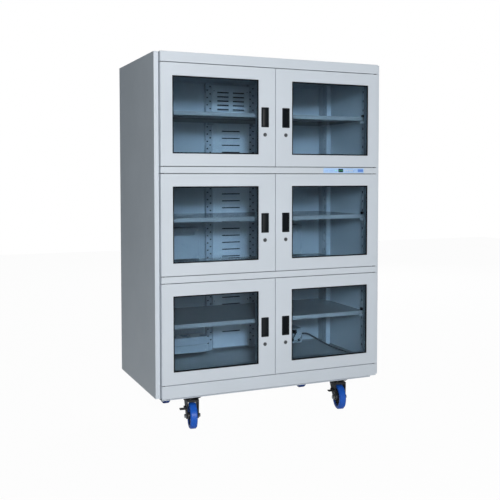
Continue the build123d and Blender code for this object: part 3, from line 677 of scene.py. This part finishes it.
class CABINET_OT_control_strip(CabinetOperator, bpy.types.Operator):
    """Puts the label film, the display and its keys on the control rail"""
    bl_idname = "cabinet.control_strip"
    bl_label = "Control strip"

    film: FloatProperty(name="Film", description="Thickness of the film", default=0.4 * MM,
                        subtype="DISTANCE")
    display_at: FloatProperty(name="Display place", description="Display from the film's left end",
                              default=98.5 * MM, subtype="DISTANCE")

    def execute(self, context):
        trim = context.scene.cabinet_trim
        low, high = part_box("control_rail")
        mid_z = (low.z + high.z) / 2
        right = high.x - trim.label_inset
        left = right - trim.label_width
        face = low.y - self.film
        screen_left = left + self.display_at - 12.5 * MM
        screen_right = screen_left + 27 * MM
        self.label(left, right, face, low.y, mid_z)
        self.display(screen_left, screen_right, face, mid_z)
        self.buttons("control_keys", "paint", [screen_right + (14 + 13 * i) * MM for i in range(4)],
                     in_mm((-0.1, 0.0), (-0.1, 4.2), (0.5, 4.0), (0.9, 3.0), (0.75, 0.0)),
                     face, mid_z, 24)
        self.buttons("status_lamps", "lamp", [screen_left - (9 + 9 * i) * MM for i in range(2)],
                     in_mm((-0.1, 0.0), (-0.1, 1.5), (0.5, 1.4), (1.0, 0.8), (1.15, 0.0)),
                     face, mid_z, 20)
        return {"FINISHED"}

    def label(self, left, right, face, back, mid_z):
        """The film, with a darker band at its right end and a line under each field."""
        half_h = 12.0 * MM
        ink = 0.1 * MM
        bm = bmesh.new()
        block(bm, (left, face, mid_z - half_h), (right, back, mid_z + half_h), 0.15 * MM)
        finish_piece("control_label", bm, "label", "cabinet")
        bm = bmesh.new()
        block(bm, (right - 36 * MM, face - ink, mid_z - 7 * MM),
              (right - 4 * MM, face, mid_z + 7 * MM), 0.05 * MM)
        for start in (6, 34, 62, 130, 158):
            x = left + start * MM
            block(bm, (x, face - ink, mid_z - 3 * MM), (x + 22 * MM, face, mid_z - 1.6 * MM),
                  0.05 * MM, 1)
        finish_piece("control_label_band", bm, "label_edge", "cabinet")

    def display(self, left, right, face, mid_z):
        """A dark window with two pairs of digits."""
        proud, half_h, width, height = 1.2 * MM, 8.5 * MM, 3.6 * MM, 7.2 * MM
        bm = bmesh.new()
        block(bm, (left, face - proud, mid_z - half_h), (right, face, mid_z + half_h),
              0.4 * MM, 3)
        finish_piece("display_window", bm, "screen", "cabinet")
        bm = bmesh.new()
        for digit, offset in (("2", 3.0), ("5", 8.0), ("3", 15.5), ("0", 20.5)):
            draw_digit(bm, digit, left + offset * MM, mid_z - height / 2, face - proud, width,
                       height)
        finish_piece("display_digits", bm, "digits", "cabinet")

    def buttons(self, name, finish, places, profile, face, mid_z, steps):
        bm = bmesh.new()
        for x in places:
            turned(bm, profile, (x, face, mid_z), (0, -1, 0), steps)
        finish_piece(name, bm, finish, "cabinet")


# --- chamber
class CABINET_OT_chamber_fittings(CabinetOperator, bpy.types.Operator):
    """Fits the floor tray, the shelf clips, the screws, and the painted shade sheets of the duct
    and the hook slots
    """
    bl_idname = "cabinet.chamber_fittings"
    bl_label = "Chamber fittings"

    sheet: FloatProperty(name="Tray sheet", description="Thickness of the floor tray",
                         default=0.6 * MM, subtype="DISTANCE")
    upstand: FloatProperty(name="Upstand", description="Turned-up edge of the floor tray",
                           default=8.0 * MM, subtype="DISTANCE")

    def execute(self, context):
        self.floor_tray()
        self.shelf_clips()
        self.wall_screws(context.scene.cabinet_trim.screw)
        self.duct_shade_sheet()
        self.slot_shade_caps()
        return {"FINISHED"}

    def floor_tray(self):
        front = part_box("front_frame")[1].y + 6 * MM
        half = CHAMBER_SIDE - 0.4 * MM
        outline = ((-half, front), (half, front), (half, BACK_WALL), (-half, BACK_WALL))
        bm = bmesh.new()
        corners = [bm.verts.new((x, y, CHAMBER_FLOOR + 0.1 * MM)) for x, y in outline]
        bm.faces.new(corners)
        bm.edges.ensure_lookup_table()
        walls = [e for e in bm.edges if not all(abs(v.co.y - front) < MM for v in e.verts)]
        raised = bmesh.ops.extrude_edge_only(bm, edges=walls)["geom"]
        bmesh.ops.translate(bm, vec=(0, 0, self.upstand),
                            verts=[v for v in raised if isinstance(v, bmesh.types.BMVert)])
        bmesh.ops.recalc_face_normals(bm, faces=bm.faces)
        bmesh.ops.solidify(bm, geom=bm.faces[:], thickness=self.sheet)
        finish_piece("chamber_floor_tray", bm, "gloss", "cabinet")

    def shelf_clips(self):
        """Black clips that hold the front corners of each shelf to the uprights."""
        bm = bmesh.new()
        for shelf in SHELVES:
            low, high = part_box(shelf)
            front, back = low.y + 3 * MM, low.y + 27 * MM
            for sign in SIDES.values():
                for gap, foot, head, round_edge in ((3.4, 0, 13, 1.5), (10.4, -8, 2, 1.0)):
                    near, far = sorted((sign * (CHAMBER_SIDE - 15 * MM),
                                        sign * (CHAMBER_SIDE - gap * MM)))
                    block(bm, (near, front, high.z + foot * MM), (far, back, high.z + head * MM),
                          round_edge * MM, 2)
        finish_piece("shelf_clips", bm, "rubber", "cabinet")

    def wall_screws(self, diameter):
        """Screws along both edges of the duct cover, and a row high on the back wall."""
        low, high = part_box("vent_duct")
        count, inset, end_inset = 7, 11 * MM, 30 * MM
        bm = bmesh.new()
        for i in range(count):
            z = low.z + end_inset + (high.z - low.z - 2 * end_inset) * i / (count - 1)
            for x in (low.x + inset, high.x - inset):
                pan_head(bm, (x, low.y + LOUVRE_LIP, z), (0, -1, 0), diameter)
        finish_piece("duct_screws", bm, "zinc", "cabinet")
        bm = bmesh.new()
        for x in (-216, -143, 143, 216):
            pan_head(bm, (x * MM, BACK_WALL, CHAMBER_ROOF - 16 * MM), (0, -1, 0), diameter)
        finish_piece("wall_screws", bm, "zinc", "cabinet")

    def duct_shade_sheet(self):
        """Near-black sheet behind the vents: painted shade inside the duct."""
        low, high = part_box("vent_duct")
        front = low.y + LOUVRE_LIP + 6 * MM
        gap = thick = 4 * MM
        bm = bmesh.new()
        block(bm, (low.x + gap, front, low.z + gap),
              (high.x - gap, front + thick, high.z - gap), 1.0 * MM)
        finish_piece("duct_shade_sheet", bm, "felt", "cabinet")

    def slot_shade_caps(self):
        """Dark caps on the floors of the hook slots in the uprights: painted shade in the slots."""
        bm = bmesh.new()
        for axis, low, high in recess_floors("shelf_uprights", 3 * MM, 14 * MM):
            toward = Vector((0.0, 0.0, 0.0))
            toward[axis.index] = axis.sign
            lift = 0.8 * MM * toward
            ends = [low, high, low + lift, high + lift]
            block(bm, [min(end[i] for end in ends) for i in range(3)],
                  [max(end[i] for end in ends) for i in range(3)], 0.2 * MM, 1)
        finish_piece("slot_shade_caps", bm, "felt", "cabinet")


class CABINET_OT_drying_fittings(CabinetOperator, bpy.types.Operator):
    """Adds the outlet fins, screws, plug and clipped wires of the drying units"""
    bl_idname = "cabinet.drying_fittings"
    bl_label = "Drying unit fittings"

    def execute(self, context):
        low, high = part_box("drying_units")
        front = low.y
        screw = context.scene.cabinet_trim.screw
        fin_count, fin_half, fin_pitch = 5, 68 * MM, 4.2 * MM
        bm = bmesh.new()
        for sign in SIDES.values():
            left, right = sorted((sign * (UNIT_MIDDLE - fin_half), sign * (UNIT_MIDDLE + fin_half)))
            for i in range(fin_count):
                z = high.z - 38.5 * MM + fin_pitch * i
                block(bm, (left, front + 1.5 * MM, z), (right, front + 9 * MM, z + 1.0 * MM),
                      0.3 * MM, 1)
        finish_piece("outlet_fins", bm, "enamel", "cabinet")
        rows = ((UNIT_MIDDLE, 88 * MM, (high.z - 12 * MM, high.z - 156 * MM)),
                (BOX_MIDDLE, 110 * MM, (low.z + 12 * MM, low.z + 72 * MM)))
        bm = bmesh.new()
        for sign in SIDES.values():
            for middle, reach, heights in rows:
                for x in (middle - reach, middle + reach):
                    for z in heights:
                        pan_head(bm, (sign * x, front, z), (0, -1, 0), screw)
        finish_piece("unit_screws", bm, "zinc", "cabinet")
        self.plug(front, low.z)
        self.wires(front, low.z)
        return {"FINISHED"}

    def plug(self, front, foot):
        """Moulded plug on the face of the right connection box, with its collar."""
        z = foot + 68 * MM
        bm = bmesh.new()
        for half_w, half_h, nose, root, round_edge in ((13, 11, -3, 1, 1.5), (9, 8, -15, -2, 3)):
            block(bm, (PLUG_X - half_w * MM, front + nose * MM, z - half_h * MM),
                  (PLUG_X + half_w * MM, front + root * MM, z + half_h * MM), round_edge * MM, 3)
        turned(bm, in_mm((0.0, 0.0), (0.0, 4.5), (6, 4.0), (9, 3.2), (9, 0.0)),
               (PLUG_X, front - 8.5 * MM, z - 7 * MM), (0, 0, -1), 20)
        finish_piece("unit_plug", bm, "rubber", "cabinet")

    def wires(self, front, foot):
        """Two thin wires clipped to the box from the plug to the gland of the lead."""
        gland_z = foot + 42 * MM
        side = BOX_SIDE + 2.4 * MM
        y = front - 2.4 * MM
        for number, shift in enumerate((-2.2 * MM, 2.2 * MM), start=1):
            route = [(PLUG_X + shift, front - 8.5 * MM, foot + 56 * MM),
                     (PLUG_X - 2 * MM + shift, y - 4 * MM, foot + 44 * MM),
                     (PLUG_X - 12 * MM + shift, y, foot + 30 * MM),
                     (PLUG_X - 10 * MM + shift, y, foot + 14 * MM + shift),
                     (PLUG_X + 8 * MM, y, foot + 9 * MM + 2 * shift),
                     (PLUG_X + 32 * MM, y, foot + 20 * MM + 2 * shift),
                     (BOX_SIDE - 2 * MM, y, foot + 32 * MM + 2 * shift),
                     (side, front + 8 * MM, gland_z - 4 * MM + 2 * shift),
                     (side, front + 26 * MM, gland_z + shift),
                     (side + 1.1 * MM, front + 44 * MM, gland_z + shift)]
            finish_piece(f"clipped_wire_{number}", self.wire(route, 1.8 * MM), "cable", "cabinet")
        bm = bmesh.new()
        for x, z in ((PLUG_X - 11 * MM, foot + 22 * MM), (PLUG_X + 26 * MM, foot + 17 * MM)):
            block(bm, (x - 5 * MM, front - 4.8 * MM, z - 7 * MM),
                  (x + 5 * MM, front + 0.5 * MM, z + 7 * MM), 0.8 * MM, 2)
        finish_piece("wire_clips", bm, "rubber", "cabinet")

    def wire(self, route, radius):
        """A round wire along a smooth curve, as a mesh."""
        curve = bpy.data.curves.new("wire_path", "CURVE")
        curve.dimensions = "3D"
        spline = curve.splines.new("NURBS")
        spline.points.add(len(route) - 1)
        for point, place in zip(spline.points, route):
            point.co = (*place, 1.0)
        spline.order_u = 3
        spline.use_endpoint_u = True
        spline.resolution_u = 8
        curve.bevel_depth = radius
        curve.bevel_resolution = 3
        curve.use_fill_caps = True
        drawn = bpy.data.objects.new("wire_path", curve)
        bm = bmesh.new()
        bm.from_mesh(bpy.data.meshes.new_from_object(drawn))
        bpy.data.objects.remove(drawn)
        return bm


# --- outside
class CABINET_OT_carcass_trim(CabinetOperator, bpy.types.Operator):
    """Adds the hinge washers and the screws of the back panel"""
    bl_idname = "cabinet.carcass_trim"
    bl_label = "Carcass trim"

    columns: IntProperty(name="Columns", description="Back screws along the top", default=6, min=2)
    lines: IntProperty(name="Lines", description="Back screws down each side", default=9, min=2)
    inset: FloatProperty(name="Inset", description="Back screws from the panel's edge",
                         default=20 * MM, subtype="DISTANCE")

    def execute(self, context):
        bm = bmesh.new()
        for name, _, low, high in doors():
            x, y, _ = FRAME_JOINTS[f"{name}_door_hinge"]["pos_m"]
            for z, way in ((low.z, -1), (high.z, 1)):
                turned(bm, in_mm((0.6, 4.3), (0.6, 8.0), (2.9, 8.0), (2.9, 4.3)), (x, y, z),
                       (0, 0, way), 32)
        finish_piece("hinge_washers", bm, "rubber", "cabinet")
        low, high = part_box("back_panel")
        diameter = 0.9 * context.scene.cabinet_trim.screw
        sunk = 0.8 * MM
        bm = bmesh.new()
        for x, z in rim_grid(low, high, self.inset, self.columns, self.lines):
            pan_head(bm, (x, high.y - sunk, z), (0, 1, 0), diameter)
        finish_piece("back_screws", bm, "zinc", "cabinet")
        return {"FINISHED"}


class CABINET_OT_caster_details(CabinetOperator, bpy.types.Operator):
    """Gives the casters zinc races, flanged nuts and ribbed wheels"""
    bl_idname = "cabinet.caster_details"
    bl_label = "Caster details"

    def execute(self, context):
        ribs = context.scene.cabinet_trim.wheel_ribs
        for caster in CASTERS:
            swivel = FRAME_JOINTS[f"{caster}_swivel_turn"]
            roll = FRAME_JOINTS[f"{caster}_wheel_roll"]
            self.race(caster, Vector(swivel["pos_m"]))
            self.nuts(caster, Vector(roll["pos_m"]), Vector(roll["axis"]))
            self.wheel_core(caster, Vector(roll["pos_m"]), Vector(roll["axis"]), ribs)
        return {"FINISHED"}

    def race(self, caster, top):
        """Pressed cup round the ball race under the top plate."""
        bm = bmesh.new()
        turned(bm, in_mm((-5.2, 30.5), (-5.2, 35.5), (-8.0, 35.0), (-10.5, 33.0), (-12.7, 32.5),
                         (-12.7, 30.5)), top, (0, 0, 1), 48)
        finish_piece(f"{caster}_race_cup", bm, "zinc", "cabinet")

    def nuts(self, caster, hub, axis):
        """Flanged hexagon nuts over both ends of the axle."""
        bm = bmesh.new()
        for way in (-1, 1):
            base = hub + axis * way * 30.0 * MM
            turned(bm, in_mm((0.1, 0.0), (0.1, 12.5), (1.2, 12.0), (2.2, 10.5), (2.2, 0.0)), base,
                   axis * way, 32)
            turned(bm, in_mm((2.0, 0.0), (2.0, 10.2), (7.4, 10.2), (8.6, 8.6), (8.6, 0.0)), base,
                   axis * way, 6)
        finish_piece(f"{caster}_axle_nuts", bm, "zinc", f"{caster}_swivel")

    def wheel_core(self, caster, hub, axis, ribs):
        """Radial ribs between hub and rim, and a zinc bearing shield each side."""
        bm = bmesh.new()
        turn = axis.to_track_quat("X", "Z").to_matrix().to_4x4()
        place = Matrix.Translation(hub) @ turn
        for way in (-1, 1):
            for i in range(ribs):
                start = len(bm.verts)
                low, high = sorted((way * 5 * MM, way * 12.5 * MM))
                block(bm, (low, -1.4 * MM, 15 * MM), (high, 1.4 * MM, 47 * MM), 0.6 * MM, 1)
                bm.verts.ensure_lookup_table()
                bmesh.ops.transform(bm, verts=bm.verts[start:],
                                    matrix=place @ Matrix.Rotation(math.tau * i / ribs, 4, "X"))
        finish_piece(f"{caster}_wheel_ribs", bm, "black", f"{caster}_roller")
        bm = bmesh.new()
        for way in (-1, 1):
            turned(bm, in_mm((21.9, 7.0), (21.9, 15.8), (22.9, 15.2), (23.3, 12.0), (22.9, 9.0),
                             (23.3, 7.0)), hub, axis * way, 36)
        finish_piece(f"{caster}_bearing_shields", bm, "zinc", f"{caster}_roller")


# --- studio
class CABINET_OT_studio(CabinetOperator, bpy.types.Operator):
    """Builds the pale floor, the soft lights, the background and the camera"""
    bl_idname = "cabinet.studio"
    bl_label = "Studio"

    def execute(self, context):
        studio = context.scene.cabinet_studio
        self.floor()
        self.lamp("Key", (-2.05, -6.4, 2.3), 0.45, studio.key, (1.0, 0.985, 0.965))
        self.lamp("Side fill", (-5.0, -0.6, 1.4), 2.0, studio.fill, (0.45, 0.80, 1.0))
        self.lamp("Back", (3.6, 5.2, 3.0), 2.0, studio.back)
        self.world(studio.ambient)
        self.camera(studio)
        context.scene.view_settings.view_transform = "Standard"
        return {"FINISHED"}

    def in_view(self, tree):
        """1 on rays from the camera, straight or through glass, and 0 on rays of light."""
        path = tree.nodes.new("ShaderNodeLightPath")
        first = maths(tree, "LESS_THAN", path.outputs["Diffuse Depth"], 0.5)
        through = maths(tree, "MULTIPLY", path.outputs["Is Transmission Ray"], first)
        return maths(tree, "MAXIMUM", path.outputs["Is Camera Ray"], through)

    def floor(self):
        bm = bmesh.new()
        bmesh.ops.create_grid(bm, x_segments=2, y_segments=2, size=9.0,
                              matrix=Matrix.Translation((0.0, 0.0, -0.5 * MM)))
        mesh = bpy.data.meshes.new("studio_floor")
        bm.to_mesh(mesh)
        bm.free()
        floor = bpy.data.objects.new("studio_floor", mesh)
        bpy.context.scene.collection.objects.link(floor)
        material, tree, shader = new_material("Studio floor")
        shader.inputs["Roughness"].default_value = 0.9
        shader.inputs["Specular IOR Level"].default_value = 0.1
        place = tree.nodes.new("ShaderNodeTexCoord").outputs["Object"]
        tree.links.new(blend_colour(tree, noise(tree, place, 0.8), (0.93, 0.93, 0.93),
                                    (0.90, 0.90, 0.90)), shader.inputs["Base Color"])
        glow = tree.nodes.new("ShaderNodeEmission")
        glow.inputs["Color"].default_value = (1.0, 1.0, 1.0, 1.0)
        mix = tree.nodes.new("ShaderNodeMixShader")
        tree.links.new(maths(tree, "MULTIPLY", self.in_view(tree), 0.97), mix.inputs["Fac"])
        tree.links.new(shader.outputs["BSDF"], mix.inputs[1])
        tree.links.new(glow.outputs["Emission"], mix.inputs[2])
        tree.links.new(mix.outputs["Shader"], tree.nodes["Material Output"].inputs["Surface"])
        mesh.materials.append(material)

    def lamp(self, name, place, size, power, tone=(1.0, 1.0, 1.0)):
        data = bpy.data.lights.new(name, "AREA")
        data.size = size
        data.energy = power
        data.color = tone
        lamp = bpy.data.objects.new(name, data)
        lamp.location = place
        aim = Vector((0.0, 0.0, 0.9)) - Vector(place)
        lamp.rotation_euler = aim.to_track_quat("-Z", "Y").to_euler()
        bpy.context.scene.collection.objects.link(lamp)

    def world(self, strength):
        """Even light, with pure white where the camera sees the background, through glass too."""
        world = bpy.data.worlds.new("Studio world")
        bpy.context.scene.world = world
        world.use_nodes = True
        tree = world.node_tree
        light = tree.nodes["Background"]
        light.inputs["Color"].default_value = (0.76, 0.93, 1.0, 1.0)
        light.inputs["Strength"].default_value = strength
        white = tree.nodes.new("ShaderNodeBackground")
        white.inputs["Color"].default_value = (1.0, 1.0, 1.0, 1.0)
        mix = tree.nodes.new("ShaderNodeMixShader")
        tree.links.new(self.in_view(tree), mix.inputs["Fac"])
        tree.links.new(light.outputs["Background"], mix.inputs[1])
        tree.links.new(white.outputs["Background"], mix.inputs[2])
        tree.links.new(mix.outputs["Shader"], tree.nodes["World Output"].inputs["Surface"])

    def camera(self, studio):
        data = bpy.data.cameras.new("Camera")
        data.lens = studio.lens
        data.shift_x, data.shift_y = studio.shift
        camera = bpy.data.objects.new("Camera", data)
        camera.location = studio.camera_place
        camera.rotation_euler = (studio.camera_tilt, 0.0, studio.camera_turn)
        bpy.context.scene.collection.objects.link(camera)
        bpy.context.scene.camera = camera


# --- panel and registration
STEPS = (CABINET_OT_finishes, CABINET_OT_window_gaskets, CABINET_OT_door_seals,
         CABINET_OT_bead_screws, CABINET_OT_lock_bezels, CABINET_OT_control_strip,
         CABINET_OT_chamber_fittings, CABINET_OT_drying_fittings, CABINET_OT_carcass_trim,
         CABINET_OT_caster_details, CABINET_OT_studio)


class CABINET_PT_panel(bpy.types.Panel):
    """Lists the settings and the steps of the cabinet's dressing"""
    bl_idname = "CABINET_PT_panel"
    bl_label = "Desiccator Cabinet"
    bl_space_type = "VIEW_3D"
    bl_region_type = "UI"
    bl_category = "Cabinet"

    def draw(self, context):
        for group in (context.scene.cabinet_finish, context.scene.cabinet_trim,
                      context.scene.cabinet_studio):
            box = self.layout.box()
            for name in group.__annotations__:
                box.prop(group, name)
        for step in STEPS:
            self.layout.operator(step.bl_idname)


CLASSES = (CabinetFinish, CabinetTrim, CabinetStudio, *STEPS, CABINET_PT_panel)


def register():
    for cls in CLASSES:
        bpy.utils.register_class(cls)
    bpy.types.Scene.cabinet_finish = PointerProperty(type=CabinetFinish)
    bpy.types.Scene.cabinet_trim = PointerProperty(type=CabinetTrim)
    bpy.types.Scene.cabinet_studio = PointerProperty(type=CabinetStudio)


def unregister():
    del bpy.types.Scene.cabinet_studio
    del bpy.types.Scene.cabinet_trim
    del bpy.types.Scene.cabinet_finish
    for cls in reversed(CLASSES):
        bpy.utils.unregister_class(cls)


def main():
    register()
    for step in STEPS:
        category, name = step.bl_idname.split(".")
        getattr(getattr(bpy.ops, category), name)()


if __name__ == "__main__":
    main()
